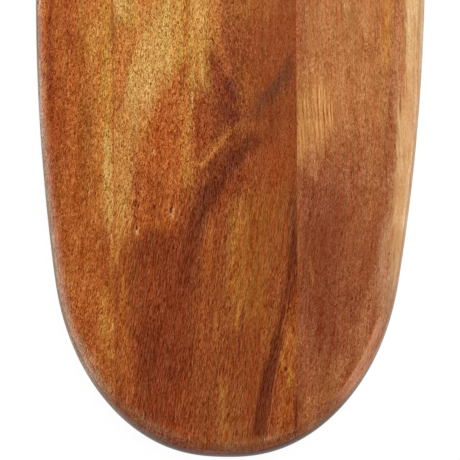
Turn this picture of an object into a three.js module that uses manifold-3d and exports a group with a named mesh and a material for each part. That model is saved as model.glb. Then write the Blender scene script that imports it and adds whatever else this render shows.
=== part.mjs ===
// A long oval serving board, made of three hardwood staves glued edge to edge and cut to one outline.
// Millimetres, +Z up. The origin is in the middle of the underside, and +Y runs along the grain.

import * as THREE from "three";
import { mergeVertices } from "three/addons/utils/BufferGeometryUtils.js";
import Module from "manifold-3d";

// Driving dimensions
const BOARD_LENGTH = 500;
const BOARD_THICKNESS = 19;
const LEFT_STAVE_WIDTH = 39.5;
const CENTRE_STAVE_WIDTH = 93;
const RIGHT_STAVE_WIDTH = 67;
const GLUE_THICKNESS = 0.25;

// Outline: long sides that bow gently, then a full rounded end
const SIDE_BOW = 29; // how far each side has come in by the tips, before the end's own curve
const END_LENGTH = 93.5; // from where the sides stop to the tip
const END_FULLNESS = 2.4; // exponent of the end's curve: 2 is an ellipse, and more is squarer
const OUTLINE_SKEW = 1.25; // degrees that the outline is turned against the staves, clockwise from above

// Edges: the same roundover above and below
const EDGE_RADIUS = 7;
const LEAST_LAND = 0.5; // upright band that stays between the two roundovers

// Waste that is sawn away outside the outline when it is cut from the glued panel
const TRIM = 5;

// Facets
const SIDE_STEPS = 8; // in half of one side
const END_STEPS = 20; // in half of one end
const EDGE_STEPS = 6; // in one roundover

// Worked out from the driving dimensions
const BOARD_WIDTH = LEFT_STAVE_WIDTH + CENTRE_STAVE_WIDTH + RIGHT_STAVE_WIDTH + 2 * GLUE_THICKNESS;
const HALF_WIDTH = BOARD_WIDTH / 2;
const HALF_LENGTH = BOARD_LENGTH / 2;
const SIDE_END = HALF_LENGTH - END_LENGTH;
const ROUNDOVER = Math.min(EDGE_RADIUS, (BOARD_THICKNESS - LEAST_LAND) / 2);

const wasm = await Module();
wasm.setup();

// Half the board's width at a distance from mid-length, before the end's own curve
function sideHalfWidth(distance) {
  return HALF_WIDTH - SIDE_BOW * (distance / HALF_LENGTH) ** 2;
}

// A quarter of the outline, from the middle of the right side to just before the tip
function quarterOutline() {
  const points = [];
  for (let i = 0; i < SIDE_STEPS; i++) {
    const y = (SIDE_END * i) / SIDE_STEPS;
    points.push(new THREE.Vector2(sideHalfWidth(y), y));
  }
  const power = 2 / END_FULLNESS;
  for (let i = 0; i < END_STEPS; i++) {
    const angle = ((Math.PI / 2) * i) / END_STEPS;
    const y = SIDE_END + END_LENGTH * Math.sin(angle) ** power;
    points.push(new THREE.Vector2(sideHalfWidth(y) * Math.cos(angle) ** power, y));
  }
  return points;
}

// The whole outline: the quarter, then its mirror images in turn, all turned against the grain
function boardOutline() {
  const quarter = quarterOutline();
  const tip = new THREE.Vector2(0, HALF_LENGTH);
  const back = [tip, ...quarter.slice(1).reverse()];
  const half = [...quarter, ...back.map((p) => new THREE.Vector2(-p.x, p.y))];
  const outline = [...half, ...half.map((p) => p.clone().negate())];
  const centre = new THREE.Vector2(0, 0);
  const turn = -THREE.MathUtils.degToRad(OUTLINE_SKEW);
  return new THREE.Shape(outline.map((p) => p.rotateAround(centre, turn)));
}

function solidOf(geometry) {
  geometry.deleteAttribute("normal");
  geometry.deleteAttribute("uv");
  const welded = mergeVertices(geometry);
  const vertProperties = welded.attributes.position.array;
  const triVerts = Uint32Array.from(welded.index.array);
  return new wasm.Manifold(new wasm.Mesh({ numProp: 3, vertProperties, triVerts }));
}

function geometryOf(solid) {
  const mesh = solid.getMesh();
  const geometry = new THREE.BufferGeometry();
  geometry.setAttribute("position", new THREE.BufferAttribute(mesh.vertProperties, 3));
  geometry.setIndex(new THREE.BufferAttribute(mesh.triVerts, 1));
  geometry.computeVertexNormals();
  return geometry;
}

// The finished shape of the glued panel, with both edges rounded over
function boardBlank() {
  const geometry = new THREE.ExtrudeGeometry(boardOutline(), {
    depth: BOARD_THICKNESS - 2 * ROUNDOVER,
    bevelThickness: ROUNDOVER,
    bevelSize: ROUNDOVER,
    bevelOffset: -ROUNDOVER,
    bevelSegments: EDGE_STEPS,
  });
  geometry.translate(0, 0, ROUNDOVER);
  return solidOf(geometry);
}

// One raw strip of the glued panel, between two upright planes that its neighbours share
function rawStrip(low, high) {
  const reach = HALF_LENGTH + TRIM;
  const section = new THREE.Shape([
    new THREE.Vector2(low, -reach),
    new THREE.Vector2(high, -reach),
    new THREE.Vector2(high, reach),
    new THREE.Vector2(low, reach),
  ]);
  const geometry = new THREE.ExtrudeGeometry(section, {
    depth: BOARD_THICKNESS + 2 * TRIM,
    bevelEnabled: false,
  });
  geometry.translate(0, 0, -TRIM);
  return solidOf(geometry);
}

function oiledWood(color) {
  return new THREE.MeshStandardMaterial({ color, roughness: 0.42, metalness: 0 });
}

function curedGlue() {
  return new THREE.MeshStandardMaterial({ color: 0x5a3018, roughness: 0.6, metalness: 0 });
}

// The strips from left to right, each with the trim that it has on its free side
const STRIPS = [
  { name: "left_stave", width: LEFT_STAVE_WIDTH, trimLeft: TRIM, trimRight: 0, look: oiledWood(0xb5672e) },
  { name: "left_glue_line", width: GLUE_THICKNESS, trimLeft: 0, trimRight: 0, look: curedGlue() },
  { name: "centre_stave", width: CENTRE_STAVE_WIDTH, trimLeft: 0, trimRight: 0, look: oiledWood(0xa05a2b) },
  { name: "right_glue_line", width: GLUE_THICKNESS, trimLeft: 0, trimRight: 0, look: curedGlue() },
  { name: "right_stave", width: RIGHT_STAVE_WIDTH, trimLeft: 0, trimRight: TRIM, look: oiledWood(0xa9683c) },
];

const blank = boardBlank();
const board = new THREE.Group();
let left = -HALF_WIDTH;
for (const strip of STRIPS) {
  const right = left + strip.width;
  const cut = blank.intersect(rawStrip(left - strip.trimLeft, right + strip.trimRight));
  const mesh = new THREE.Mesh(geometryOf(cut), strip.look);
  mesh.name = strip.name;
  board.add(mesh);
  left = right;
}

export default board;
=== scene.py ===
"""Looks of a long oval serving board: three hardwood staves glued edge to edge, rounded over and oiled.

The board lies on a white floor and is seen from straight above, with its near end in the picture.
Lengths are in metres and angles in radians. The wood's figure and grain are in millimetres on the
board's own axes: x runs across it, y along it, and z is 0 at the level of the upper face.
"""

import math
from collections import namedtuple
from typing import NamedTuple

import bmesh
import bpy
import numpy as np
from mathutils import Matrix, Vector
from mathutils.geometry import delaunay_2d_cdt


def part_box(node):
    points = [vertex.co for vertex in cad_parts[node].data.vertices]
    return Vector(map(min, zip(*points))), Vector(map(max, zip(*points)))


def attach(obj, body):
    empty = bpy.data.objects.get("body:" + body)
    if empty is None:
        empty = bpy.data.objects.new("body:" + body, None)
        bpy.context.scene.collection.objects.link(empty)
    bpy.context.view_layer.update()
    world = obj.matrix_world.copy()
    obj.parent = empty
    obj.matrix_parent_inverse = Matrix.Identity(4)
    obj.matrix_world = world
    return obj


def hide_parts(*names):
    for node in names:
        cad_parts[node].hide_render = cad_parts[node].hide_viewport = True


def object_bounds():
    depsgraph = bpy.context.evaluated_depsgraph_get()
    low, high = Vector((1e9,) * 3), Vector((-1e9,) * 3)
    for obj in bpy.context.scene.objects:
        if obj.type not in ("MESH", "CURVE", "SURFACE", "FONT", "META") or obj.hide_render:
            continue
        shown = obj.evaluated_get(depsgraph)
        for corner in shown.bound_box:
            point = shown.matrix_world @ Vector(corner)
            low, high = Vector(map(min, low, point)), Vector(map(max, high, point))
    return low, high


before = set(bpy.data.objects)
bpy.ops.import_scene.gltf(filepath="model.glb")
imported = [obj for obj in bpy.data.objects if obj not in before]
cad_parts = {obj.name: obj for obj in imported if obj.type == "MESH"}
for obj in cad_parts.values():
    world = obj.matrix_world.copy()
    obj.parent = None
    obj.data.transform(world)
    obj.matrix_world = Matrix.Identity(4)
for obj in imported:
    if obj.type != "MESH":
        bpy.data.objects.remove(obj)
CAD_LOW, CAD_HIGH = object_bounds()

MM = 0.001

# The board, from the frame and from the outline that the staves are cut to
THICKNESS = CAD_HIGH.z - CAD_LOW.z
LEFT_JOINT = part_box("left_stave")[1].x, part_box("centre_stave")[0].x
RIGHT_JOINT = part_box("centre_stave")[1].x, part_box("right_stave")[0].x
HALF_LENGTH = 250 * MM
HALF_WIDTH = 100 * MM
SIDE_BOW = 29 * MM
END_LENGTH = 93.5 * MM
END_FULLNESS = 2.4
OUTLINE_SKEW = math.radians(1.25)
EDGE_RADIUS = 7 * MM

# Hand sanding leaves the roundover uneven, in waves round the board, with a crease along the flat faces
Wave = namedtuple("Wave", "times start share")
SANDING_WAVES = [Wave(1, 2.4, 0.04), Wave(3, 1.1, 0.22), Wave(5, 2.1, 0.04)]
UPPER_PHASE = 0.0
LOWER_PHASE = 1.7
CREASE = math.radians(15)

# The glue lies a hair below the wood
GLUE_RECESS = 0.03 * MM

# Fineness of the meshes
SIDE_SAMPLES = 200
END_SAMPLES = 600
OUTLINE_STEP = 1.5 * MM
FACE_STEP = 6 * MM
FACE_MARGIN = FACE_STEP / 3
EDGE_RINGS = 12
SMOOTH_ANGLE = math.radians(12)

# Rings of points in and round the pit of a pin knot, as shares of its half-size
PIT_RINGS = (0, 0.4, 0.7, 1.0, 1.4)
PIT_RING_POINTS = 12

# Mesh tools: triangles only inside the border, and how near counts as the same place, in metres
INSIDE_ONLY = 1
SAME_POINT = 1e-9
ON_PLANE = 1e-7

# The picture
VIEW_WIDTH = 237.5 * MM
VIEW_CENTRE = (-1.4 * MM, -133.14 * MM)
VIEW_ROLL = math.radians(0.35)
VIEW_LEVEL = THICKNESS / 2
LENS_MM = 100
SENSOR_MM = 36

# Studio light: the sky is bright near the floor and dim overhead, so that the upper face keeps its depth
SKY_GLOW = 1.3
SKY_FALL = 1.4
SKY_FRONT = 0.5
SKY_BACK = 1.3
Lamp = namedtuple("Lamp", "name place size watts mirrored")
LAMPS = [
    Lamp("key", place=(0.35, 0.5, 1.1), size=(0.8, 0.8), watts=13.1, mirrored=False),
    Lamp("left_card", place=(-0.9, 0.0, 0.25), size=(1.8, 0.5), watts=5.2, mirrored=True),
]

# The floor shows white, with a share of plain grey that keeps the board's shadow
WHITE = (1, 1, 1, 1)
FLOOR_GREY = (0.6, 0.6, 0.6, 1)
FLOOR_GLOW = 1.07
FLOOR_GLOW_SHARE = 0.9
FLOOR_REACH = 4.0

# Wood colours, with painted sheen, shade and highlights for the rim, as red, green and blue on the screen
STRAW = (211, 156, 86)
CREAM = (226, 172, 100)
HONEY = (200, 140, 62)
TOFFEE = (198, 130, 63)
APRICOT = (190, 113, 50)
AMBER = (190, 116, 50)
COPPER = (172, 91, 37)
ORANGE = (186, 100, 42)
OCHRE = (156, 88, 34)
GOLDEN = (174, 104, 41)
RUST = (152, 70, 29)
WEDGE = (177, 90, 36)
CHESTNUT = (147, 73, 33)
RUSSET = (132, 57, 26)
UMBER = (106, 45, 22)
HEART = (104, 44, 28)
SHADE = (128, 62, 30)
SMOKE = (108, 58, 34)
CLAY = (181, 114, 64)
# peach figure, and a painted highlight on the lower right rim
PEACH_AND_RIM_HIGHLIGHT = (198, 132, 84)
GILT = (206, 143, 84)
SIENNA = (154, 84, 49)
MAROON = (132, 64, 38)
PLUM = (140, 75, 49)
# painted highlight on the roundover by the crease
RIM_HIGHLIGHT_PINK = (216, 150, 116)
SAND = (222, 172, 122)
DUN = (186, 124, 82)
# pale strip by the sapwood, and a painted highlight on the lower right rim
ASH_AND_RIM_HIGHLIGHT = (200, 150, 112)
# painted sheen, with some rubbing, on the sides of the roundover
SIDE_SHEEN_AND_WEAR_GREY = (156, 121, 81)
# painted shade and sheen on the roundover at the ends
END_SHADE_AND_SHEEN_GREY = (120, 88, 76)
# painted shade on the steep part of the upper roundover
PAINTED_SHADE_BROWN = (112, 80, 60)
# painted sheen, with some rubbing, on the rim
RIM_SHEEN_AND_WEAR_TAN = (176, 128, 88)
# painted highlight in the crease at the near end
CREASE_HIGHLIGHT_RED = (182, 82, 32)
FLAME = (222, 150, 88)
EYE = (92, 30, 6)
GLUE_BROWN = (166, 100, 46)

# Linear tints of the strands, and what one unit of extra pigment in the wood lets through
RED_TINT = (1.06, 0.92, 0.85, 1)
GOLD_TINT = (0.97, 1.08, 1.0, 1)
PIGMENT = (0.37, 0.18, 0.06, 1.0)

# Lines narrower than this many millimetres stray only by a share of what broader streaks do
FINE_LINE = 4.5
FINE_STRAY = 0.12

# A streak that narrows keeps at least this share of its width
LEAST_WIDTH = 0.05

# Below this many millimetres along the board, the fibres lean otherwise and run longer
TURN_LEVEL = -115

# Noises: how often they change per millimetre across, along and down, and how fine and twisted they are
Noise = namedtuple("Noise", "scale detail roughness distortion", defaults=(1.0, 0.6, 0.0))
FLOW = Noise((0.02, 0.018, 0.02))
DRIFT = Noise((0.03, 0.012, 0.05))
WANDER = Noise((0.1, 0.02, 0.1))
FRAY = Noise((0.9, 0.14, 0.9), detail=2.0)
FEATHER = Noise((1.2, 0.08, 1.2), detail=2.0)
TINT = Noise((0.35, 0.02, 0.35), detail=2.0)
FLECK = Noise((1.7, 0.5, 1.7), distortion=1.6)
STRAND = Noise((0.5, 0.03, 0.5), detail=3.0, roughness=0.65)
SILK_BREAK = Noise((0.6, 0.07, 0.6))
CLOUD = Noise((0.16, 0.05, 0.16))
PORE = Noise((2.2, 0.1, 2.2))
MOTTLE = Noise((0.12, 0.12, 0.5), detail=2.0)
LAYERS = Noise((0.03, 0.02, 1.3), detail=2.0)
BLOTCH = Noise((0.4, 0.08, 0.4), detail=3.0)

# Threads along the fibres: how often they repeat per millimetre, and how even they are
Threads = namedtuple("Threads", "scale evenness")
FINE_THREADS = Threads((0.75, 0.42, 1.0), 0.8)
SILK_THREADS = Threads((0.5, 0.06, 1.0), 0.9)

# How far noises swing, in millimetres
FLOW_SWING = 2.5
WANDER_SWING = 2.0
FRAY_SWING = 5.0
FEATHER_SWING = 7.0

# How far others swing: the drift per millimetre of depth, the mottle in level, the layers in pigment
DRIFT_SWING = 1.4
MOTTLE_SWING = 0.25
LAYER_SWING = 0.5
WORN_LAYER_SWING = 0.6

# Ramps by the wood's paleness, its linear green: two ends, and the values there unless the stave gives them
FLECK_BY_TONE = (0.1, 0.3)
THREAD_BY_TONE = (0.12, 0.04)
STRAND_BY_TONE = (0.16, 0.26)
PORE_BY_TONE = (0.25, 0.35)
SILK_BY_TONE = (0.18, 0.26)
SILK_IN_SAPWOOD = (0.3, 0.38, 1.0, 0.2)
UNEVENNESS_BY_TONE = (0.05, 0.3, 0.35, 0.75)

# What is left of some kinds of grain in dark or in pale wood
DARK_SILK = 0.15
PALE_STRAND = 0.4
PALE_PORE = 0.4

# Ramps by millimetres across and along the board
FLECK_ACROSS = (-2.0, 18.0, 1.3, 0.72)
FLECK_ALONG = (-150.0, -110.0)
UPPER_FLECK = 1.06
LIVELY_ACROSS = (10.0, 22.0, 0.0, 0.8)
LIVELY_ALONG = (-130.0, -165.0)
THREAD_ALONG = (-80.0, -130.0, 0.3, 1.0)
SILK_ALONG = (-130.0, -105.0, 0.2, 1.0)

# Ramps by a noise
TINT_CUT = (0.25, 0.75)
SILK_CUT = (0.35, 0.6, 0.25, 1.15)
PORE_CUT = (0.58, 0.75)
WOOD_ROUGHNESS = (0.2, 0.8, 0.38, 0.28)
GLUE_ROUGHNESS = (0.2, 0.8, 0.5, 0.65)

# Ramps of the rim's painted sheen, rubbing and painted shade, and of its layers and end grain, by how level,
# upward or endwise its surface lies
SHEEN_AND_WEAR_BY_LEVEL = (0.95, 0.62)
SHEEN_AND_WEAR_ON_EDGE = (0.05, 0.45, 0.35, 1.0)
SHEEN_AND_WEAR_AT_END = (0.35, 0.75)
END_SHEEN_AND_WEAR = 0.6
PAINTED_SHADE_BY_LEVEL = (0.76, 0.4)
PAINTED_SHADE_ABOVE = (0.1, 0.4, 0.1, 1.0)
PAINTED_SHADE_AT_END = (0.15, 0.7)
SIDE_PAINTED_SHADE = 0.75
END_PAINTED_SHADE = 0.8
LAYERS_BY_LEVEL = (0.985, 0.8)
END_PIGMENT = (0.15, 0.9, 0.0, 0.25)

# Relief of the surfaces
RELIEF_DEPTH = 0.1 * MM
WOOD_RELIEF = 0.2
GLUE_RELIEF = 0.3
FLECK_HEIGHT = 0.4

# Marks of a pin knot in shares of its width and length, apart from the eye's lean in millimetres
DROP_TOP = (0.3, 0.7)
DROP_TIP = (0.25, -1.7)
DROP_WIDTH = 2.1
EYE_REACH = 0.7
EYE_WIDTH = 1.2
EYE_LEAN = 0.1


class Streak(NamedTuple):
    """A long soft streak on the upper face, in millimetres. Its name is only a label."""
    name: str
    start: tuple
    end: tuple
    width: float
    color: tuple
    strength: float = 0.9
    core: float = 0.1  # the share of its half-width that has its full strength
    taper: float = 0.5  # the share of its half-length over which each end fades
    spread: float = 0.0  # the share by which it widens from its middle to its end
    bow: float = 0.0  # how far its ends bend aside, in half-widths
    crisp: bool = False  # strays as little as a fine line does


class Knot(NamedTuple):
    """A pin knot on the upper face, in millimetres. Its name is only a label."""
    name: str
    place: tuple
    width: float
    length: float
    depth: float
    flame: tuple  # the colour round its eye


class Grain(NamedTuple):
    """How strong each kind of grain is in a stave."""
    dark_fleck: float
    pale_fleck: float
    low_fleck: float  # a factor on the flecks near the end in the picture
    thread: float
    silk: float
    pore: float
    strand: float
    cloud: float


class Stave(NamedTuple):
    """A stave's wood: its base colour, how its fibres run, how much its rim is rubbed and painted with sheen
    and shade, its grain and its figure.
    """
    name: str
    base: tuple
    lean: tuple  # the fibres' lean above and below the turn, in degrees
    stretch: float  # how much slower the grain changes along the fibres below the turn
    fray: float
    rim_wear_and_painted_light: float
    depth_shift: tuple  # how far the figure shifts across and along, per millimetre of depth
    grain: Grain
    figure: list
    knots: list


# Figures of the staves, from the photo and made up beyond it: later streaks lie over earlier ones
CENTRE_FIGURE = [
    Streak("far shade", (14, 262), (8, 60), 40, SHADE, 0.8),
    Streak("far dark streak", (-24, 250), (-6, 40), 15, RUSSET, bow=0.5),
    Streak("far gold", (-46, 240), (-40, 70), 22, GOLDEN, 0.8),
    Streak("far smoke", (26, 190), (16, 20), 12, SMOKE, 0.7, bow=-0.6),
    Streak("upper gold", (9, 30), (9, -34), 42, GOLDEN, 0.5),
    Streak("golden ground", (12, -104), (6, -190), 38, OCHRE, 0.8, core=0.2, taper=0.45),
    Streak("golden heart", (3, -114), (2, -172), 14, GOLDEN, 0.6),
    Streak("golden side", (17, -162), (16, -196), 8, GOLDEN, 0.35),
    Streak("shade by the streak", (22, -130), (18, -180), 10, CHESTNUT, 0.7),

    Streak("pale beyond the picture", (-47, 190), (-43, 0), 26, HONEY, 0.85, core=0.1, taper=0.7),
    Streak("pale tongue beyond", (-20, 140), (-23, 0), 24, TOFFEE, 0.8, core=0.1, taper=0.8),
    Streak("pale ground", (-33, 50), (-36, -74), 64, HONEY, 0.95, core=0.5, taper=0.46),
    Streak("pale patch", (-36, -10), (-43, -78), 30, STRAW, 0.6, core=0.3, taper=0.4),
    Streak("pale flow", (-40, -30), (-54, -92), 21, STRAW, 0.85, core=0.3),
    Streak("pale corner", (-58, 20), (-55, -33), 14, STRAW, 0.95),
    Streak("flecked brown", (-41, 50), (-44, -38), 22, AMBER, 0.85),
    Streak("pale stripe", (-15.5, 50), (-17, -48), 9, STRAW, 0.65, core=0.2),
    Streak("olive line", (-21, 30), (-23, -52), 5, GOLDEN, 0.7),
    Streak("amber side", (-7, 40), (-9, -46), 12, AMBER, 0.85),
    Streak("dark line", (-2.2, 20), (-2, -34), 3, CHESTNUT, 0.6),
    Streak("pink line", (-0.4, 10), (-0.4, -27), 2.2, ORANGE, 0.6),
    Streak("amber strip", (-51.4, -27), (-64, -71), 12, APRICOT, 0.95, core=0.7, taper=0.2, crisp=True),
    Streak("strip shade", (-47.6, -32), (-58, -69), 2, ORANGE, 0.7),

    Streak("wedge margin", (-28, -50), (-48, -94), 15, AMBER, 0.7),
    Streak("red wedge", (-23.5, -45), (-36, -102), 25, WEDGE, 0.95, core=0.3, taper=0.1, spread=0.95),
    Streak("wedge body", (-35.5, -84), (-38, -142), 31, WEDGE, 0.95, core=0.5, taper=0.3),
    Streak("wedge side", (-24, -48), (-26, -70), 6, OCHRE, 0.7),
    Streak("amber side of the wedge", (-43, -64), (-49, -106), 9, AMBER, 0.6),
    Streak("pale tail", (-55, -64), (-58, -146), 15, TOFFEE, 0.95, core=0.5, taper=0.3),
    Streak("light in the tail", (-56, -92), (-58, -128), 9, STRAW, 0.15),
    Streak("wedge low", (-39.5, -98), (-40, -132), 18, RUST, 0.55, core=0.3),
    Streak("heart red", (-15, -56), (-15, -106), 15, RUST, 0.85),
    Streak("heart shade", (0, -46), (-4, -98), 24, SHADE, 0.85),
    Streak("heart column", (-11, -41), (-3.5, -68), 9, RUSSET, 0.85),
    Streak("heart margin", (-12.5, -40), (-12, -64), 5, OCHRE, 0.7),
    Streak("light arc", (-7, -30), (-1, -58), 3.6, COPPER, 0.75, bow=0.5),
    Streak("upper eye", (-5, -55), (3, -69), 7, HEART, 0.8),
    Streak("lower eye", (-8, -67), (6, -81), 10, HEART, 0.75),
    Streak("between the lines", (-17.4, -42), (-17.4, -70), 4, AMBER, 0.7),
    Streak("dark of the pale line", (-20, -40), (-23, -56), 1.6, OCHRE, 0.7),
    Streak("thin pale line", (-17.8, -34), (-22, -88), 2.2, STRAW, 0.85, bow=0.4),
    Streak("dark between the lines", (-18.4, -50), (-19.2, -72), 2, OCHRE, 0.7),
    Streak("second pale line", (-16.8, -38), (-13.6, -66), 1.6, STRAW, 0.5),
    Streak("golden tongue", (-23, -60), (-24, -118), 10, AMBER, 0.85, core=0.2),
    Streak("tongue end", (-23, -94), (-23, -116), 12, GOLDEN, 0.5),
    Streak("below the tongue", (-25, -108), (-27, -134), 13, RUST, 0.7),
    Streak("arc shade", (6, -34), (7, -56), 9, RUSSET, 0.35),
    Streak("gold by the heart", (8, -46), (8, -70), 11, OCHRE, 0.65),
    Streak("smoke above", (36, -36), (20, -70), 14, SMOKE, 0.5),
    Streak("smoke arc", (36.5, -44), (11, -74), 9, SMOKE, 0.7, core=0.0, taper=0.6, spread=0.3, bow=0.8),
    Streak("smoke below", (28, -52), (8, -80), 12, SMOKE, 0.65),
    Streak("red margin", (32, -20), (31.5, -58), 5, RUST, 0.6),
    Streak("red corner", (24, -74), (22, -116), 18, RUST, 0.7),
    Streak("corner shade", (25, -66), (18, -96), 18, SHADE, 0.6),

    Streak("band rust", (6, -94), (-6, -126), 12, RUST, 0.7),
    Streak("below the band", (6, -100), (-1, -119), 12, RUSSET, 0.75),
    Streak("dark band top", (15, -83), (-4, -102), 12, UMBER, 0.85, core=0.2),
    Streak("dark band middle", (4, -91), (-15, -121), 15, UMBER, 0.85, core=0.2),
    Streak("dark band end", (-8, -106), (-26, -144), 18, UMBER, 0.8, core=0.2),
    Streak("golden side of the line", (-17, -98), (0, -80), 6, GOLDEN, 0.5),
    Streak("golden line", (-16.5, -101), (0.5, -81.5), 3.4, AMBER, 0.8),
    Streak("golden line foot", (-24, -98), (-12, -100.5), 4.2, AMBER, 0.75),
    Streak("golden line top", (-4, -86), (7, -76), 5, GOLDEN, 0.5),
    Streak("shade under the line", (-14, -105), (-5, -94), 6, UMBER, 0.7, crisp=True),

    Streak("dark ground", (-33.5, -129), (-35, -256), 38, RUSSET, 0.9, core=0.45, taper=0.12),
    Streak("dark ground upper", (-21, -128), (-23, -170), 12, UMBER, 0.55),
    Streak("dark ground lower", (-44, -178), (-42, -216), 14, UMBER, 0.5),
    Streak("dark ground side", (-33, -190), (-31, -216), 8, UMBER, 0.5),
    Streak("rust in the dark", (-41, -142), (-40, -174), 12, RUST, 0.55),
    Streak("rust at the end", (-26, -206), (-26, -250), 16, RUST, 0.6),
    Streak("left margin", (-56, -128), (-57, -224), 9, COPPER, 0.8),
    Streak("gold by the glue", (-59, -120), (-60, -154), 6, AMBER, 0.85),
    Streak("curve at the glue", (-60, -172), (-51.5, -198), 3.4, ORANGE, 0.7, bow=0.5),
    Streak("curve below", (-51.8, -190), (-51.6, -222), 2.6, COPPER, 0.6),
    Streak("orange line", (-11, -124), (-14, -162), 6, COPPER, 0.85),
    Streak("red spot", (-5, -126), (-6, -162), 6, RUST, 0.6),
    Streak("light threads", (-15, -168), (-16, -194), 3, COPPER, 0.6),
    Streak("gold threads", (-9, -168), (-9, -192), 3, GOLDEN, 0.5),
    Streak("short gold", (3.6, -168), (1, -186), 3.2, AMBER, 0.75),
    Streak("short dark", (6.2, -171), (3.8, -188), 1.5, HEART, 0.9),
    Streak("short dark below", (3.2, -184), (2.8, -199), 1.5, HEART, 0.9),
    Streak("low light", (-5, -203), (-4, -248), 11, GOLDEN, 0.4),
    Streak("low spot", (-6, -208), (-6, -219), 3, GOLDEN, 0.7),
    Streak("dark by the right glue", (31, -108), (30.5, -156), 8, SMOKE, 0.75),
    Streak("dark streak top", (33.5, -128), (27, -170), 9, UMBER, 0.8),
    Streak("dark streak upper", (30, -156), (21, -194), 6.5, UMBER, 0.9),
    Streak("right of the dark streak", (31, -168), (24, -246), 13, COPPER, 0.6),
    Streak("dark streak lower", (23.8, -182), (16.4, -218), 7.6, UMBER, 0.85, core=0.4, crisp=True),
    Streak("dark streak end", (19, -198), (12.2, -242), 8.8, UMBER, 0.85, core=0.5, taper=0.25, crisp=True),
    Streak("edge of the dark streak", (16.6, -200), (9.2, -241), 2.6, HEART, 0.7),
    # painted highlights in the crease at the near end
    Streak("pink at the crease", (14, -240.5), (34, -234.5), 2, RIM_HIGHLIGHT_PINK, 0.3, bow=0.4),
    Streak("red at the crease", (-38, -230), (-17, -238.5), 4.4, CREASE_HIGHLIGHT_RED, 0.28, crisp=True),
    Streak("light above the knot", (29.5, -180), (26.5, -202), 6, APRICOT, 0.55),
    Streak("gold by the knot", (29, -203), (28.4, -214), 4.4, HONEY, 0.5),
    Streak("gold above the knot", (32.5, -184), (31, -198), 5, GOLDEN, 0.7),
    Streak("orange by the knot", (25, -194), (25.5, -206), 4, AMBER, 0.6),
    Streak("dark by the glue", (32, -214), (31.4, -238), 2.6, UMBER, 0.9),
    # painted sheen, with some rubbing, along the rim at the near end
    Streak("worn end", (-62.6, -221.5), (-16.6, -247), 9, RIM_SHEEN_AND_WEAR_TAN, 0.28, bow=-1.2),
    Streak("worn tip", (-15.2, -246.6), (34.8, -237.6), 9, RIM_SHEEN_AND_WEAR_TAN, 0.25, bow=-1.0),
]

LEFT_FIGURE = [
    Streak("far gold", (-68, 200), (-66, 20), 14, HONEY, 0.8),
    Streak("far rust", (-84, 160), (-82, 10), 16, RUST, 0.7),
    Streak("edge shade", (-93, 30), (-90, -138), 7, RUST, 0.9),
    Streak("edge dark", (-92.5, -16), (-92, -74), 5, RUSSET, 0.6),
    Streak("rust", (-86.5, -46), (-86, -112), 9, RUST, 0.75),
    Streak("upper rust", (-85, -10), (-82.5, -46), 9, RUST, 0.8),
    Streak("upper brown", (-76, 10), (-76, -56), 13, GOLDEN, 0.55),
    Streak("brown", (-74, -58), (-74, -128), 12, OCHRE, 0.6),
    Streak("gold", (-66, 30), (-64.5, -142), 16, AMBER, 0.9, core=0.35, taper=0.25),
    Streak("upper gold", (-72, -20), (-71, -50), 10, HONEY, 0.45),
    Streak("gold band", (-64, 30), (-63, -138), 8, HONEY, 0.8),
    Streak("bright gold", (-64, -76), (-62, -142), 7, STRAW, 0.9),
    Streak("pale tip", (-62, -119), (-62, -133), 3, CREAM, 0.8),
    Streak("dark by the glue", (-60.6, 10), (-60.6, -64), 1.8, OCHRE, 0.5),
    Streak("brown below", (-66, -124), (-66, -162), 8, RUST, 0.6),
    Streak("gold below", (-61.5, -134), (-61, -154), 3, AMBER, 0.7),
    Streak("brown at the glue", (-62, -148), (-62, -174), 4, OCHRE, 0.6),
    Streak("low gold", (-66, -160), (-65, -196), 11, AMBER, 0.75),
    Streak("light fleck", (-63.4, -193), (-62.2, -199.5), 7, HONEY, 0.6),
    Streak("upper light fleck", (-66, -176), (-64.4, -186), 7, HONEY, 0.5),
    Streak("low brown", (-72, -176), (-71, -198), 8, RUST, 0.6),
    Streak("low edge shade", (-87, -120), (-85.5, -152), 8, RUST, 0.5),
    Streak("low shade", (-66, -198), (-62, -210), 8, RUST, 0.55),
    # painted sheen, with some rubbing, on the rim of the lower left
    Streak("sheen_and_weathering side", (-93, -140), (-82, -196), 8, RIM_SHEEN_AND_WEAR_TAN, 0.15),
    Streak("sheen_and_weathering end", (-84, -184), (-60, -226), 11, RIM_SHEEN_AND_WEAR_TAN, 0.55),
    Streak("dark speck", (-72.4, -203.6), (-70.8, -207), 2.4, UMBER, 0.8),
]

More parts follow.
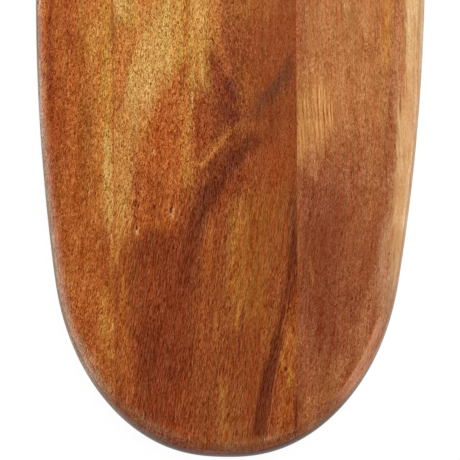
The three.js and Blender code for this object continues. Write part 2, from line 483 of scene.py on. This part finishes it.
RIGHT_FIGURE = [
    Streak("far brown", (56, 250), (52, 60), 34, SIENNA, 0.8),
    Streak("low ground", (54, -66), (44, -300), 90, SIENNA, 0.95, core=0.7, taper=0.38),
    Streak("low dark", (50, -96), (46, -216), 26, MAROON, 0.7),
    Streak("gold side", (80, 10), (79, -56), 10, HONEY, 0.45),
    Streak("pinkish light", (67, -14), (68, -40), 7, PEACH_AND_RIM_HIGHLIGHT, 0.5),
    Streak("light stripe", (70, -42), (70, -60), 5, PEACH_AND_RIM_HIGHLIGHT, 0.6),
    Streak("light side", (57, -46), (56, -82), 9, PEACH_AND_RIM_HIGHLIGHT, 0.75),
    Streak("left margin", (36, 20), (36, -62), 9, SIENNA, 0.6),
    Streak("gilt by the glue", (36.4, -58), (35, -105), 9, GILT, 0.95, taper=0.6),
    Streak("gilt patch", (47, -48), (42, -100), 16, GILT, 0.9, taper=0.7),
    Streak("gilt spot", (51, -62), (50, -88), 4.6, GILT, 0.9, taper=0.8),
    Streak("gilt end", (42, -88), (41, -110), 8, PEACH_AND_RIM_HIGHLIGHT, 0.35),
    Streak("lighter side", (73, -84), (71, -132), 16, CLAY, 0.5),
    Streak("plum patch", (38, -104), (40, -140), 11, PLUM, 0.7),
    Streak("dark margin", (38, -122), (38, -190), 13, MAROON, 0.6),
    Streak("dark spot", (62, -158), (60, -184), 9, MAROON, 0.6),
    Streak("light end", (56, -194), (47, -224), 13, CLAY, 0.45),
    Streak("line by the sapwood", (85.5, 40), (83, -50), 4, SIENNA, 0.6),
    Streak("shade by the sapwood", (83, -44), (79, -92), 6, SIENNA, 0.75),
    Streak("line by the sapwood below", (81, -66), (75, -124), 5, SIENNA, 0.4),
    Streak("dun edge", (84, -94), (79, -154), 10, DUN, 0.85),
    Streak("far sapwood edge", (81, 190), (89, 20), 8, DUN, 0.7),
    Streak("far sapwood", (88, 210), (98, 10), 13, SAND, 0.85, core=0.3, taper=0.45),
    Streak("sapwood edge", (87, 60), (84, -96), 7, DUN, 0.8),
    Streak("sapwood", (96, 60), (94, -90), 15, SAND, 0.95, core=0.6, taper=0.2),
    Streak("sapwood middle", (91, -56), (87, -150), 15, SAND, 0.9, core=0.5),
    Streak("sapwood lower", (86, -110), (81, -168), 9, SAND, 0.7),
    # Along the lower right rim: the dun strip is partly paler sapwood and partly a painted highlight; the
    # orange rim, the rim below and the pink rim are painted highlights
    Streak("dun strip", (79.5, -120), (74, -186), 11, ASH_AND_RIM_HIGHLIGHT, 0.6, taper=0.8),
    Streak("orange rim", (82, -150), (72, -196), 8, ASH_AND_RIM_HIGHLIGHT, 0.6),
    Streak("dun low", (73, -152), (62, -204), 7, DUN, 0.6),
    Streak("rim below", (75, -182), (53, -227), 8, PEACH_AND_RIM_HIGHLIGHT, 0.45),
    Streak("pink rim", (81.2, -170.6), (52, -225.2), 3.4, RIM_HIGHLIGHT_PINK, 0.75, core=0.3, bow=2.0, crisp=True),
    Streak("dark side", (44, -160), (44, -190), 8, RUSSET, 0.5),
    Streak("dark side above", (46, -128), (44, -164), 8, RUSSET, 0.4),
    Streak("light diagonal", (38, -142), (42, -168), 3, CLAY, 0.35),
    Streak("low light", (44, -192), (43, -226), 7, CLAY, 0.2),
    Streak("pink end", (38.5, -214), (38, -236), 8, CLAY, 0.6),
]

# Pin knots of the centre and the right stave
CENTRE_KNOTS = [
    Knot("lower pin", (-31.4, -122.8), 1.8, 3.2, 0.03, FLAME),
    Knot("left pin", (-48.9, -131.8), 1.3, 2.6, 0.03, FLAME),
    Knot("small pin", (-40.6, -92.4), 0.9, 1.5, 0.02, STRAW),
    Knot("right pin", (26.6, -204), 2.0, 2.2, 0.03, ORANGE),
]
RIGHT_KNOTS = [
    Knot("edge pin", (79.5, -145.6), 0.7, 1.2, 0.02, DUN),
]

STAVES = [
    Stave("left_stave", COPPER, lean=(7, 7), stretch=0.0, fray=0.9, rim_wear_and_painted_light=0.9, depth_shift=(0.5, 1.6),
          grain=Grain(dark_fleck=1.22, pale_fleck=1.2, low_fleck=1.04, thread=0.3, silk=0.4, pore=0.2,
                      strand=0.25, cloud=0.3),
          figure=LEFT_FIGURE, knots=[]),
    Stave("centre_stave", CHESTNUT, lean=(2, 10), stretch=0.4, fray=0.8, rim_wear_and_painted_light=0.9, depth_shift=(-0.5, 2.0),
          grain=Grain(dark_fleck=1.38, pale_fleck=1.2, low_fleck=0.79, thread=0.7, silk=0.0, pore=0.2,
                      strand=0.3, cloud=0.18),
          figure=CENTRE_FIGURE, knots=CENTRE_KNOTS),
    Stave("right_stave", CLAY, lean=(-1, 8), stretch=0.0, fray=0.3, rim_wear_and_painted_light=0.2, depth_shift=(0.5, -1.8),
          grain=Grain(dark_fleck=1.65, pale_fleck=0.5, low_fleck=0.55, thread=0.3, silk=0.72, pore=0.5,
                      strand=0.3, cloud=0.2),
          figure=RIGHT_FIGURE, knots=RIGHT_KNOTS),
]


# Meshes

def quarter_outline():
    """A quarter of the outline before it is turned, from the middle of the right side to the tip."""
    side_end = HALF_LENGTH - END_LENGTH
    angle = np.linspace(0, math.pi / 2, END_SAMPLES)
    power = 2 / END_FULLNESS
    side_y = np.linspace(0, side_end, SIDE_SAMPLES, endpoint=False)
    end_y = side_end + END_LENGTH * np.sin(angle) ** power
    y = np.concatenate([side_y, end_y])
    squeeze = np.concatenate([np.ones(SIDE_SAMPLES), np.clip(np.cos(angle), 0, 1) ** power])
    x = (HALF_WIDTH - SIDE_BOW * (y / HALF_LENGTH) ** 2) * squeeze
    return np.stack([x, y], axis=1)


def board_outline():
    """Evenly spaced points round the board, counter-clockwise from above, and their outward normals."""
    quarter = quarter_outline()
    half = np.concatenate([quarter, (quarter[:-1] * (-1, 1))[::-1]])
    loop = np.concatenate([half, -half[1:]])
    turn = np.array([[math.cos(OUTLINE_SKEW), -math.sin(OUTLINE_SKEW)],
                     [math.sin(OUTLINE_SKEW), math.cos(OUTLINE_SKEW)]])
    loop = loop @ turn
    run = np.concatenate([[0], np.cumsum(np.linalg.norm(np.diff(loop, axis=0), axis=1))])
    count = round(run[-1] / OUTLINE_STEP)
    at = np.arange(count) * run[-1] / count
    points = np.stack([np.interp(at, run, loop[:, 0]), np.interp(at, run, loop[:, 1])], axis=1)
    along = np.roll(points, -1, axis=0) - np.roll(points, 1, axis=0)
    along /= np.linalg.norm(along, axis=1, keepdims=True)
    return points, np.stack([along[:, 1], -along[:, 0]], axis=1)


def sanded_radius(count, phase):
    """The roundover's radius at each point of the outline."""
    around = np.linspace(0, 2 * math.pi, count, endpoint=False)
    waves = sum(wave.share * np.sin(wave.times * around + wave.start + phase) for wave in SANDING_WAVES)
    return EDGE_RADIUS * (1 + waves)


def edge_rings(recess):
    """Rings of points from the border of the upper face, round the edge, to that of the lower face."""
    points, normals = board_outline()
    rings = []
    for upper in (True, False):
        radius = sanded_radius(len(points), UPPER_PHASE if upper else LOWER_PHASE)[:, None]
        turns = np.linspace(CREASE, math.pi / 2, EDGE_RINGS)
        for turn in turns if upper else turns[::-1]:
            inset = (1 - math.sin(turn)) / (1 - math.sin(CREASE))
            flat = points - normals * (radius * inset + recess)
            drop = radius[:, 0] * (1 - math.cos(turn) / math.cos(CREASE)) + recess
            level = THICKNESS - drop if upper else drop
            rings.append(np.column_stack([flat, level]))
    return rings


def inside(ring, points, margin):
    """Which points lie inside a convex ring by more than a margin."""
    ahead = np.roll(ring, -1, axis=0) - ring
    ahead /= np.linalg.norm(ahead, axis=1, keepdims=True)
    inward = np.stack([-ahead[:, 1], ahead[:, 0]], axis=1)
    depth = np.einsum("pc,rc->pr", points, inward) - np.sum(ring * inward, axis=1)
    return depth.min(axis=1) > margin


def pit_points(knot):
    """Rings of points in and round the pit of a pin knot, each turned a little against the last."""
    points = []
    for share in PIT_RINGS:
        for angle in np.linspace(0, 2 * math.pi, PIT_RING_POINTS, endpoint=False) + share:
            offset = np.array((knot.width * math.cos(angle), knot.length * math.sin(angle)))
            points.append((np.array(knot.place) + share / 2 * offset) * MM)
    return np.array(points)


def face_points(ring, knots):
    """Points inside a flat face: a grid, and close rings at each pin knot."""
    across = np.arange(-HALF_WIDTH, HALF_WIDTH, FACE_STEP)
    along = np.arange(-HALF_LENGTH, HALF_LENGTH, FACE_STEP)
    grid = np.stack(np.meshgrid(across, along), axis=-1).reshape(-1, 2)
    points = np.concatenate([grid] + [pit_points(knot) for knot in knots])
    return points[inside(ring, points, FACE_MARGIN)]


def pit_depth(point, knots):
    """How far the wood has sunk at a point of the upper face."""
    depth = 0.0
    for knot in knots:
        away = math.hypot((point[0] / MM - knot.place[0]) / (knot.width / 2),
                          (point[1] / MM - knot.place[1]) / (knot.length / 2))
        depth = max(depth, knot.depth * MM * max(0.0, 1 - away * away))
    return depth


def add_face(work, ring, border, level, knots, upper):
    """Fills one flat face of the board with triangles."""
    flat = np.array(ring)[:, :2]
    extra = face_points(flat, knots)
    points = [Vector(p) for p in np.concatenate([flat, extra])]
    count = len(flat)
    edges = [(i, (i + 1) % count) for i in range(count)]
    places, _, triangles, origins, _, _ = delaunay_2d_cdt(points, edges, [], INSIDE_ONLY, SAME_POINT)
    corners = []
    for place, origin in zip(places, origins):
        old = [i for i in origin if i < count]
        if old:
            corners.append(border[old[0]])
        else:
            corners.append(work.verts.new((place.x, place.y, level - pit_depth(place, knots))))
    for triangle in triangles:
        order = triangle if upper else triangle[::-1]
        work.faces.new([corners[i] for i in order])


def board_blank(recess, knots):
    """The whole board as one closed mesh, its surface a recess below the finished one."""
    work = bmesh.new()
    rings = edge_rings(recess)
    loops = [[work.verts.new(point) for point in ring] for ring in rings]
    count = len(loops[0])
    for high, low in zip(loops, loops[1:]):
        for i in range(count):
            j = (i + 1) % count
            work.faces.new((high[i], low[i], low[j], high[j]))
    add_face(work, rings[0], loops[0], THICKNESS - recess, knots, True)
    add_face(work, rings[-1], loops[-1], recess, [], False)
    return work


def cut_strip(work, low, high):
    """Keeps what lies between two upright planes across the board, and closes the cuts."""
    for x, keeps_right in ((low, True), (high, False)):
        if x is None:
            continue
        every = work.verts[:] + work.edges[:] + work.faces[:]
        bmesh.ops.bisect_plane(work, geom=every, dist=ON_PLANE, plane_co=(x, 0, 0), plane_no=(1, 0, 0),
                               clear_inner=keeps_right, clear_outer=not keeps_right)
        border = [edge for edge in work.edges if edge.is_boundary]
        bmesh.ops.holes_fill(work, edges=border, sides=0)
    bmesh.ops.recalc_face_normals(work, faces=work.faces[:])


def strip_piece(node, low, high, recess, knots, material):
    """One strip of the board, in place of its node in the frame."""
    work = board_blank(recess, knots)
    cut_strip(work, low, high)
    mesh = bpy.data.meshes.new(node + "_look")
    work.to_mesh(mesh)
    work.free()
    mesh.shade_smooth()
    mesh.set_sharp_from_angle(angle=SMOOTH_ANGLE)
    mesh.materials.append(material)
    piece = bpy.data.objects.new(node + "_look", mesh)
    bpy.context.scene.collection.objects.link(piece)
    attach(piece, "root")
    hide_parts(node)


# Nodes

def linear(color):
    """A screen colour as the linear colour that nodes take, by the sRGB curve."""
    shares = [part / 255 for part in color]
    bright = [share / 12.92 if share <= 0.04045 else ((share + 0.055) / 1.055) ** 2.4 for share in shares]
    return (*bright, 1.0)


class Graph:
    """A node tree with short ways to add nodes. An input that is a socket is linked, any other is set."""

    def __init__(self, tree):
        self.tree = tree

    def add(self, kind, inputs, **settings):
        """A node, with its inputs by name or by number."""
        node = self.tree.nodes.new(kind)
        for key, value in settings.items():
            setattr(node, key, value)
        for key, value in inputs.items():
            if isinstance(value, bpy.types.NodeSocket):
                self.tree.links.new(value, node.inputs[key])
            else:
                node.inputs[key].default_value = value
        return node

    def math(self, operation, *values):
        return self.add("ShaderNodeMath", dict(enumerate(values)), operation=operation).outputs[0]

    def vector(self, operation, *values):
        return self.add("ShaderNodeVectorMath", dict(enumerate(values)), operation=operation).outputs[0]

    def dot(self, first, second):
        inputs = {0: first, 1: second}
        return self.add("ShaderNodeVectorMath", inputs, operation="DOT_PRODUCT").outputs["Value"]

    def mapping(self, vector, location=(0, 0, 0), rotation=(0, 0, 0), scale=(1, 1, 1)):
        inputs = {"Vector": vector, "Location": location, "Rotation": rotation, "Scale": scale}
        return self.add("ShaderNodeMapping", inputs).outputs[0]

    def noise(self, vector, noise):
        """A noise from 0 to 1."""
        stretched = self.vector("MULTIPLY", vector, noise.scale)
        inputs = {"Vector": stretched, "Scale": 1.0, "Detail": noise.detail, "Roughness": noise.roughness,
                  "Distortion": noise.distortion}
        return self.add("ShaderNodeTexNoise", inputs).outputs[0]

    def threads(self, vector, threads):
        """Fine parallel threads along Y, from 0 to 1."""
        stretched = self.vector("MULTIPLY", vector, threads.scale)
        inputs = {"Vector": stretched, "Scale": 1.0, "Frequency": 1.0, "Anisotropy": threads.evenness,
                  "Orientation": 0.0}
        return self.add("ShaderNodeTexGabor", inputs, gabor_type="2D").outputs["Value"]

    def swing(self, noise, size):
        """A noise from 0 to 1 as a swing to either side of 0."""
        return self.math("MULTIPLY_ADD", noise, 2 * size, -size)

    def ramp(self, value, low, high, start=0.0, end=1.0):
        """A smooth change from start to end, as a value goes from low to high."""
        inputs = {"Value": value, 1: low, 2: high, 3: start, 4: end}
        settings = {"interpolation_type": "SMOOTHSTEP", "clamp": False}
        return self.add("ShaderNodeMapRange", inputs, **settings).outputs[0]

    def mix(self, factor, first, second):
        """A mix of two colours, which are inputs 6 and 7 and output 2 of the node."""
        return self.add("ShaderNodeMix", {0: factor, 6: first, 7: second}, data_type="RGBA").outputs[2]

    def parts(self, vector):
        return self.add("ShaderNodeSeparateXYZ", {0: vector}).outputs

    def whole(self, x, y, z):
        return self.add("ShaderNodeCombineXYZ", {0: x, 1: y, 2: z}).outputs[0]


def new_material(name):
    """A material with no nodes yet, and its graph."""
    material = bpy.data.materials.new(name)
    material.use_nodes = True
    material.node_tree.nodes.clear()
    return material, Graph(material.node_tree)


def set_surface(graph, color, roughness, height, relief):
    """Ends a graph with a surface of a colour, a roughness and a fine relief."""
    inputs = {"Height": height, "Strength": relief, "Distance": RELIEF_DEPTH}
    bump = graph.add("ShaderNodeBump", inputs).outputs[0]
    inputs = {"Base Color": color, "Roughness": roughness, "Normal": bump}
    shader = graph.add("ShaderNodeBsdfPrincipled", inputs).outputs[0]
    graph.add("ShaderNodeOutputMaterial", {0: shader})


def board_millimetres(graph):
    """Millimetres on the board's axes, with 0 at the level of the upper face."""
    place = graph.add("ShaderNodeTexCoord", {}).outputs["Object"]
    return graph.mapping(place, location=(0, 0, -THICKNESS / MM), scale=(1 / MM, 1 / MM, 1 / MM))


# Figure of the wood

def streak_group():
    """A node group that lays one long soft streak over the colour beneath it."""
    tree = bpy.data.node_groups.new("streak", "ShaderNodeTree")
    for name, kind in (("Point", "Vector"), ("Under", "Color"), ("Over", "Color"), ("Strength", "Float"),
                       ("Along", "Vector"), ("Across", "Vector"), ("Core", "Float"), ("Taper", "Float"),
                       ("Spread", "Float"), ("Bow", "Float")):
        tree.interface.new_socket(name, in_out="INPUT", socket_type="NodeSocket" + kind)
    tree.interface.new_socket("Color", in_out="OUTPUT", socket_type="NodeSocketColor")
    graph = Graph(tree)
    given = graph.add("NodeGroupInput", {}).outputs
    along = graph.dot(given["Point"], given["Along"])
    across = graph.dot(given["Point"], given["Across"])
    bent = graph.math("MULTIPLY_ADD", graph.math("MULTIPLY", along, along), given["Bow"], across)
    width = graph.math("MAXIMUM", graph.math("MULTIPLY_ADD", along, given["Spread"], 1.0), LEAST_WIDTH)
    aside = graph.math("ABSOLUTE", graph.math("DIVIDE", bent, width))
    body = graph.ramp(aside, 1.0, given["Core"])
    ends = graph.ramp(graph.math("ABSOLUTE", along), 1.0, graph.math("SUBTRACT", 1.0, given["Taper"]))
    mask = graph.math("MULTIPLY", graph.math("MULTIPLY", body, ends), given["Strength"])
    graph.add("NodeGroupOutput", {"Color": graph.mix(mask, given["Under"], given["Over"])})
    return tree


STREAK = streak_group()


def lay_streak(graph, point, color, streak):
    """Lays a streak over a colour. The point's z is 1, so that a dot product can hold an offset."""
    start, end = Vector(streak.start), Vector(streak.end)
    middle = (start + end) / 2
    onward = (end - start) / 2
    along = onward / onward.length_squared
    across = onward.orthogonal().normalized() * (2 / streak.width)
    inputs = {
        "Point": point,
        "Under": color,
        "Over": linear(streak.color),
        "Strength": streak.strength,
        "Along": (*along, -along.dot(middle)),
        "Across": (*across, -across.dot(middle)),
        "Core": streak.core,
        "Taper": streak.taper,
        "Spread": streak.spread,
        "Bow": streak.bow,
    }
    return graph.add("ShaderNodeGroup", inputs, node_tree=STREAK).outputs[0]


def fibre_point(graph, place, stave):
    """Where a point lies among the fibres, which lean across the board and flow in slow waves."""
    upper, lower = (math.radians(lean) for lean in stave.lean)
    below = graph.math("MAXIMUM", graph.math("SUBTRACT", TURN_LEVEL, graph.dot(place, (0, 1, 0))), 0.0)
    flow = graph.swing(graph.noise(place, FLOW), FLOW_SWING)
    aside = graph.math("MULTIPLY_ADD", below, math.tan(lower) - math.tan(upper), flow)
    onward = graph.math("MULTIPLY", below, stave.stretch)
    leaning = graph.mapping(place, rotation=(0, 0, upper))
    return graph.vector("ADD", leaning, graph.whole(aside, onward, 0.0))


def sunk_point(graph, place, stave):
    """Where a point lies in the figure of the upper face, from which it shifts with its depth."""
    x, y, depth = graph.parts(place)
    drift = graph.swing(graph.noise(place, DRIFT), DRIFT_SWING)
    aside = graph.math("MULTIPLY_ADD", depth, graph.math("ADD", drift, stave.depth_shift[0]), x)
    onward = graph.math("MULTIPLY_ADD", depth, stave.depth_shift[1], y)
    return graph.whole(aside, onward, 1.0)


def stray(graph, fibres, size):
    """How far the edges of the figure stray from their course, aside and along the fibres."""
    wander = graph.swing(graph.noise(fibres, WANDER), WANDER_SWING * size)
    fray = graph.swing(graph.noise(fibres, FRAY), FRAY_SWING * size)
    feather = graph.swing(graph.noise(fibres, FEATHER), FEATHER_SWING)
    return graph.whole(graph.math("ADD", wander, fray), feather, 0.0)


def figure_color(graph, point, fibres, stave):
    """The colour of the wood before its fine grain, streak over streak."""
    strayed = stray(graph, fibres, stave.fray)
    broad = graph.vector("ADD", point, strayed)
    fine = graph.vector("MULTIPLY_ADD", strayed, (FINE_STRAY, FINE_STRAY, 0.0), point)
    color = linear(stave.base)
    for streak in stave.figure:
        keeps_course = streak.crisp or streak.width < FINE_LINE
        color = lay_streak(graph, fine if keeps_course else broad, color, streak)
    return color


def knot_marks(knot):
    """The marks of a pin knot: a pale drop that trails below it, and over that its dark eye."""
    x, y = knot.place
    top, tip = ((x + knot.width * aside, y + knot.length * onward) for aside, onward in (DROP_TOP, DROP_TIP))
    reach = knot.length * EYE_REACH
    return (
        Streak("drop", top, tip, knot.width * DROP_WIDTH, knot.flame, core=0.3, spread=-0.35),
        Streak("eye", (x + EYE_LEAN, y + reach), (x - EYE_LEAN, y - reach), knot.width * EYE_WIDTH,
               EYE, strength=0.95, core=0.4, taper=0.6),
    )


def add_knots(graph, point, color, knots):
    """Lays the marks of pin knots over a colour."""
    for knot in knots:
        for mark in knot_marks(knot):
            color = lay_streak(graph, point, color, mark)
    return color


def add_tint(graph, fibres, color):
    """Tints a colour redder or more golden, from strand to strand."""
    golden = graph.ramp(graph.noise(fibres, TINT), *TINT_CUT)
    return graph.vector("MULTIPLY", color, graph.mix(golden, RED_TINT, GOLD_TINT))


# Grain of the wood, as extra pigment

def fleck_strength(graph, aside, onward, paleness, grain):
    """How strong the flecks are, by the wood's paleness and by where they lie on the board."""
    strength = graph.ramp(paleness, *FLECK_BY_TONE, grain.dark_fleck, grain.pale_fleck)
    strength = graph.math("MULTIPLY", strength, graph.ramp(aside, *FLECK_ACROSS))
    along = graph.ramp(onward, *FLECK_ALONG, grain.low_fleck, UPPER_FLECK)
    strength = graph.math("MULTIPLY", strength, along)
    lively = graph.math("MULTIPLY", graph.ramp(onward, *LIVELY_ALONG), graph.ramp(aside, *LIVELY_ACROSS))
    return graph.math("MULTIPLY_ADD", strength, lively, strength)


def thread_strength(graph, onward, paleness, grain):
    """How strong the fine threads are: most in dark wood, near the end in the picture."""
    straight = graph.ramp(onward, *THREAD_ALONG)
    return graph.math("MULTIPLY", graph.ramp(paleness, *THREAD_BY_TONE, 0.0, grain.thread), straight)


def silk_strength(graph, fibres, onward, paleness, grain):
    """How strong the silky threads are: most in pale wood that isn't sapwood, in broken lengths."""
    strength = graph.ramp(paleness, *SILK_BY_TONE, DARK_SILK * grain.silk, grain.silk)
    strength = graph.math("MULTIPLY", strength, graph.ramp(paleness, *SILK_IN_SAPWOOD))
    strength = graph.math("MULTIPLY", strength, graph.ramp(onward, *SILK_ALONG))
    broken = graph.ramp(graph.noise(fibres, SILK_BREAK), *SILK_CUT)
    return graph.math("MULTIPLY", strength, broken)


def grain_density(graph, place, fibres, color, grain):
    """The pigment of flecks, threads, strands, clouds and pores, and the flecks and strands themselves."""
    paleness = graph.parts(color)[1]
    fleck = graph.noise(fibres, FLECK)
    aside, onward, _ = graph.parts(place)
    flecks = fleck_strength(graph, aside, onward, paleness, grain)
    thread = graph.threads(fibres, FINE_THREADS)
    threads = thread_strength(graph, onward, paleness, grain)
    strand = graph.noise(fibres, STRAND)
    strands = graph.ramp(paleness, *STRAND_BY_TONE, grain.strand, grain.strand * PALE_STRAND)
    silk = graph.threads(fibres, SILK_THREADS)
    silks = silk_strength(graph, fibres, onward, paleness, grain)
    density = graph.math("MULTIPLY", graph.swing(fleck, 1.0), flecks)
    for kind, strength in ((thread, threads), (strand, strands), (silk, silks)):
        density = graph.math("MULTIPLY_ADD", graph.swing(kind, 1.0), strength, density)
    unevenness = graph.ramp(paleness, *UNEVENNESS_BY_TONE)
    density = graph.math("MULTIPLY_ADD", graph.math("MULTIPLY", density, density), unevenness, density)
    density = graph.math("ADD", density, graph.swing(graph.noise(fibres, CLOUD), grain.cloud))
    pore = graph.ramp(graph.noise(fibres, PORE), *PORE_CUT)
    pores = graph.ramp(paleness, *PORE_BY_TONE, grain.pore, grain.pore * PALE_PORE)
    return graph.math("MULTIPLY_ADD", pore, pores, density), fleck, strand


# Rim of the board

def add_painted_sheen_and_wear(graph, place, color, level, endwise, rim_wear_and_painted_light):
    """Greys and pales the wood where the surface turns down from the flat face: painted sheen, with some
    rubbing of the finish, and painted shade as well at the ends.
    """
    mottle = graph.swing(graph.noise(place, MOTTLE), MOTTLE_SWING)
    sheen_and_wear = graph.ramp(graph.math("ADD", level, mottle), *SHEEN_AND_WEAR_BY_LEVEL)
    at_end = graph.ramp(endwise, *SHEEN_AND_WEAR_AT_END)
    sheen_and_wear = graph.math("MULTIPLY", sheen_and_wear, graph.ramp(endwise, *SHEEN_AND_WEAR_AT_END, rim_wear_and_painted_light, END_SHEEN_AND_WEAR))
    sheen_and_wear = graph.math("MULTIPLY", sheen_and_wear, graph.ramp(level, *SHEEN_AND_WEAR_ON_EDGE))
    return graph.mix(sheen_and_wear, color, graph.mix(at_end, linear(SIDE_SHEEN_AND_WEAR_GREY), linear(END_SHADE_AND_SHEEN_GREY)))


def add_painted_rim_shade(graph, color, level, upward, endwise, rim_wear_and_painted_light):
    """Painted shade: darkens the steep part of the upper roundover, where little light falls."""
    painted_shade_share = graph.ramp(endwise, *PAINTED_SHADE_AT_END, SIDE_PAINTED_SHADE * rim_wear_and_painted_light, END_PAINTED_SHADE)
    steep = graph.math("MULTIPLY", graph.ramp(level, *PAINTED_SHADE_BY_LEVEL), painted_shade_share)
    steep = graph.math("MULTIPLY", steep, graph.ramp(upward, *PAINTED_SHADE_ABOVE))
    return graph.mix(steep, color, linear(PAINTED_SHADE_BROWN))


def add_edge_density(graph, place, density, level, endwise, rim_wear_and_painted_light):
    """Adds the pigment of the layers that show on the edge, and of the end grain."""
    layers = graph.swing(graph.noise(place, LAYERS), LAYER_SWING + WORN_LAYER_SWING * rim_wear_and_painted_light)
    density = graph.math("MULTIPLY_ADD", layers, graph.ramp(level, *LAYERS_BY_LEVEL), density)
    return graph.math("ADD", density, graph.ramp(endwise, *END_PIGMENT))


# Materials of the board

def wood_material(stave):
    """Oiled wood: a figure that is rubbed at the rim and painted there with sheen and shade, under the
    pigment of its grain.
    """
    material, graph = new_material(stave.name + "_oiled_wood")
    place = board_millimetres(graph)
    fibres = fibre_point(graph, place, stave)
    point = sunk_point(graph, place, stave)
    color = figure_color(graph, point, fibres, stave)
    color = add_knots(graph, point, color, stave.knots)
    color = add_tint(graph, fibres, color)

    _, lengthwise, upward = graph.parts(graph.add("ShaderNodeNewGeometry", {}).outputs["Normal"])
    level = graph.math("ABSOLUTE", upward)
    endwise = graph.math("ABSOLUTE", lengthwise)
    # painted sheen with some rubbing, and painted shade, on the rim
    color = add_painted_sheen_and_wear(graph, place, color, level, endwise, stave.rim_wear_and_painted_light)
    color = add_painted_rim_shade(graph, color, level, upward, endwise, stave.rim_wear_and_painted_light)

    density, fleck, strand = grain_density(graph, place, fibres, color, stave.grain)
    density = add_edge_density(graph, place, density, level, endwise, stave.rim_wear_and_painted_light)
    pigment = graph.add("ShaderNodeGamma", {0: PIGMENT, 1: density}).outputs[0]
    color = graph.vector("MULTIPLY", color, pigment)
    roughness = graph.ramp(strand, *WOOD_ROUGHNESS)
    height = graph.math("MULTIPLY_ADD", fleck, FLECK_HEIGHT, strand)
    set_surface(graph, color, roughness, height, WOOD_RELIEF)
    return material


def glue_material():
    """Cured glue, blotched brown."""
    material, graph = new_material("cured_glue")
    blotch = graph.noise(board_millimetres(graph), BLOTCH)
    color = graph.mix(blotch, linear(RUST), linear(GLUE_BROWN))
    roughness = graph.ramp(blotch, *GLUE_ROUGHNESS)
    set_surface(graph, color, roughness, blotch, GLUE_RELIEF)
    return material


# Floor, light and camera

def seen_directly(graph):
    """1 for rays that show the floor itself: from the camera, by a reflection or through glass."""
    path = graph.add("ShaderNodeLightPath", {}).outputs
    shown = graph.math("MAXIMUM", path["Is Camera Ray"], path["Is Glossy Ray"])
    return graph.math("MAXIMUM", shown, path["Is Transmission Ray"])


def floor_material():
    """White where it is seen directly, with a share of plain diffuse floor, and clear from below."""
    material, graph = new_material("white_floor")
    diffuse = graph.add("ShaderNodeBsdfDiffuse", {"Color": FLOOR_GREY}).outputs[0]
    glow = graph.add("ShaderNodeEmission", {"Color": WHITE, "Strength": FLOOR_GLOW}).outputs[0]
    share = graph.math("MULTIPLY", seen_directly(graph), FLOOR_GLOW_SHARE)
    lit = graph.add("ShaderNodeMixShader", {0: share, 1: diffuse, 2: glow}).outputs[0]
    clear = graph.add("ShaderNodeBsdfTransparent", {}).outputs[0]
    back = graph.add("ShaderNodeNewGeometry", {}).outputs["Backfacing"]
    shader = graph.add("ShaderNodeMixShader", {0: back, 1: lit, 2: clear}).outputs[0]
    graph.add("ShaderNodeOutputMaterial", {0: shader})
    return material


def make_floor():
    """A wide square floor under the board."""
    mesh = bpy.data.meshes.new("floor")
    low, high = -FLOOR_REACH, FLOOR_REACH
    corners = [(low, low, 0), (high, low, 0), (high, high, 0), (low, high, 0)]
    mesh.from_pydata(corners, [], [(0, 1, 2, 3)])
    mesh.materials.append(floor_material())
    floor = bpy.data.objects.new("floor", mesh)
    bpy.context.scene.collection.objects.link(floor)


def make_world():
    """A sky that fades upward, brighter beyond the board's far end, and white to the camera."""
    world = bpy.data.worlds.new("studio")
    bpy.context.scene.world = world
    world.use_nodes = True
    world.node_tree.nodes.clear()
    graph = Graph(world.node_tree)
    seen = graph.add("ShaderNodeLightPath", {}).outputs["Is Camera Ray"]
    _, onward, height = graph.parts(graph.add("ShaderNodeTexCoord", {}).outputs["Generated"])
    low = graph.add("ShaderNodeMapRange", {0: height, 1: 0.0, 2: 1.0, 3: 1.0, 4: 0.0}).outputs[0]
    side = graph.ramp(onward, -1.0, 1.0, SKY_FRONT * SKY_GLOW, SKY_BACK * SKY_GLOW)
    level = graph.math("MULTIPLY", graph.math("POWER", low, SKY_FALL), side)
    strength = graph.math("MAXIMUM", level, seen)
    sky = graph.add("ShaderNodeBackground", {"Color": WHITE, "Strength": strength}).outputs[0]
    graph.add("ShaderNodeOutputWorld", {0: sky})


def make_lamp(lamp):
    """A rectangular lamp that is aimed at the part of the board in the picture."""
    data = bpy.data.lights.new(lamp.name, "AREA")
    data.shape = "RECTANGLE"
    data.size, data.size_y = lamp.size
    data.energy = lamp.watts
    light = bpy.data.objects.new(lamp.name, data)
    light.location = lamp.place
    aim = Vector((0, VIEW_CENTRE[1], 0)) - Vector(lamp.place)
    light.rotation_euler = aim.to_track_quat("-Z", "Y").to_euler()
    light.visible_glossy = lamp.mirrored
    bpy.context.scene.collection.objects.link(light)


def make_camera():
    """A camera straight above the near end of the board."""
    data = bpy.data.cameras.new("camera")
    data.lens = LENS_MM
    data.sensor_width = SENSOR_MM
    camera = bpy.data.objects.new("camera", data)
    distance = VIEW_WIDTH * LENS_MM / SENSOR_MM
    camera.location = (*VIEW_CENTRE, VIEW_LEVEL + distance)
    camera.rotation_euler = (0, 0, -VIEW_ROLL)
    bpy.context.scene.collection.objects.link(camera)
    bpy.context.scene.camera = camera


def build_board():
    """Three staves and two glue films, each between its own upright planes."""
    edges = {
        "left_stave": (None, LEFT_JOINT[0]),
        "centre_stave": (LEFT_JOINT[1], RIGHT_JOINT[0]),
        "right_stave": (RIGHT_JOINT[1], None),
    }
    for stave in STAVES:
        low, high = edges[stave.name]
        strip_piece(stave.name, low, high, 0.0, stave.knots, wood_material(stave))
    glue = glue_material()
    for node, (low, high) in (("left_glue_line", LEFT_JOINT), ("right_glue_line", RIGHT_JOINT)):
        strip_piece(node, low, high, GLUE_RECESS, [], glue)


bpy.context.scene.view_settings.view_transform = "Standard"
make_camera()
make_world()
for lamp in LAMPS:
    make_lamp(lamp)
make_floor()
build_board()
